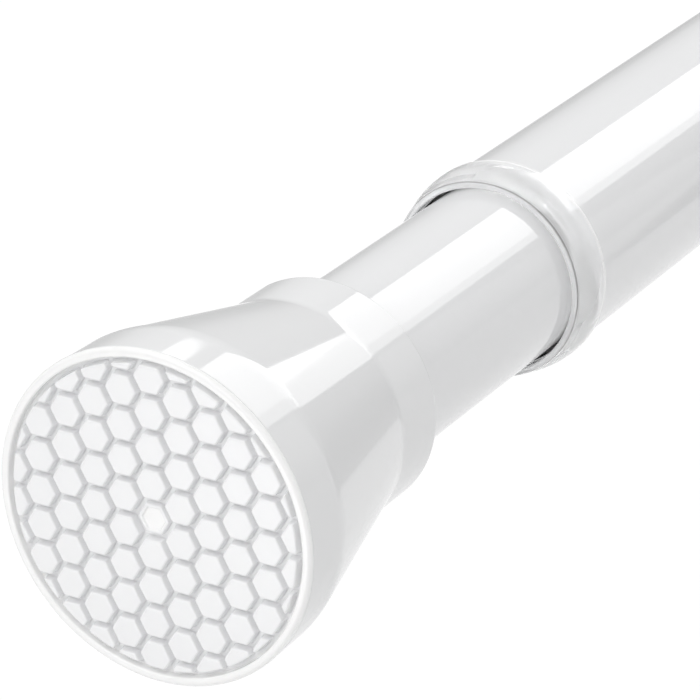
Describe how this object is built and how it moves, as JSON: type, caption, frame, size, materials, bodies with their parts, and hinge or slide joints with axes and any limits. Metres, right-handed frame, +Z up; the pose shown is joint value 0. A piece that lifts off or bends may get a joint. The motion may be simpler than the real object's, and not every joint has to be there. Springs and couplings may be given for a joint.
{
  "type": "spring tension rod",
  "caption": "Spring-loaded tension rod: a thin tube turns out of a thick tube on a screwed spindle, with flared caps and honeycomb pads that grip two walls.",
  "frame": {"origin": "centre of the rear pad's wall face", "axes": "+X along the rod from the rear pad to the front pad, +Z up, +Y completes the right-handed frame"},
  "size_m": [0.4325, 0.0374, 0.0374],
  "materials": {
    "white_lacquer": "gloss white lacquer on steel tube",
    "white_abs": "gloss white moulding",
    "white_backing": "satin white moulding",
    "clear_elastomer": "milky clear soft elastomer",
    "clear_plastic": "clear moulding",
    "plated_steel": "bright zinc plate",
    "spring_steel": "oiled spring wire",
    "natural_nylon": "natural moulding",
    "acetal": "slippery white moulding"
  },
  "bodies": {
    "outer_rod": {"rear_pad": "clear_elastomer", "rear_pad_plate": "white_backing", "rear_cap": "white_abs", "rear_cap_screw": "plated_steel", "rear_plug": "natural_nylon", "outer_tube": "white_lacquer", "collar": "clear_plastic", "stop_ring": "natural_nylon", "tension_spring": "spring_steel"},
    "spindle_unit": {"spindle": "plated_steel", "thrust_head": "natural_nylon", "head_pin": "plated_steel", "end_stop": "natural_nylon", "end_stop_pin": "plated_steel"},
    "guide": {"guide_ring": "acetal"},
    "inner_rod": {"drive_nut": "acetal", "nut_retainer": "acetal", "inner_tube": "white_lacquer", "front_plug": "natural_nylon", "front_adapter": "white_backing", "front_cap_screw": "plated_steel", "front_cap": "white_abs", "front_pad_plate": "white_backing", "front_pad": "clear_elastomer"}
  },
  "joints": [
    {"name": "spring_press", "type": "slide", "parent": "outer_rod", "child": "spindle_unit", "axis": [-1, 0, 0], "range_m": [0, 0.024], "stiffness_N_per_m": 1850, "springref_m": -0.006, "deforming": ["tension_spring"]},
    {"name": "extend", "type": "slide", "parent": "spindle_unit", "child": "guide", "axis": [1, 0, 0], "range_m": [-0.012, 0.18]},
    {"name": "twist", "type": "hinge", "parent": "guide", "child": "inner_rod", "pos_m": [0.2, 0, 0], "axis": [1, 0, 0], "range_deg": [-864, 12960]}
  ],
  "couplings": [
    {"joint": "twist", "follows": "extend", "rad_per_m": 1256.6}
  ]
}
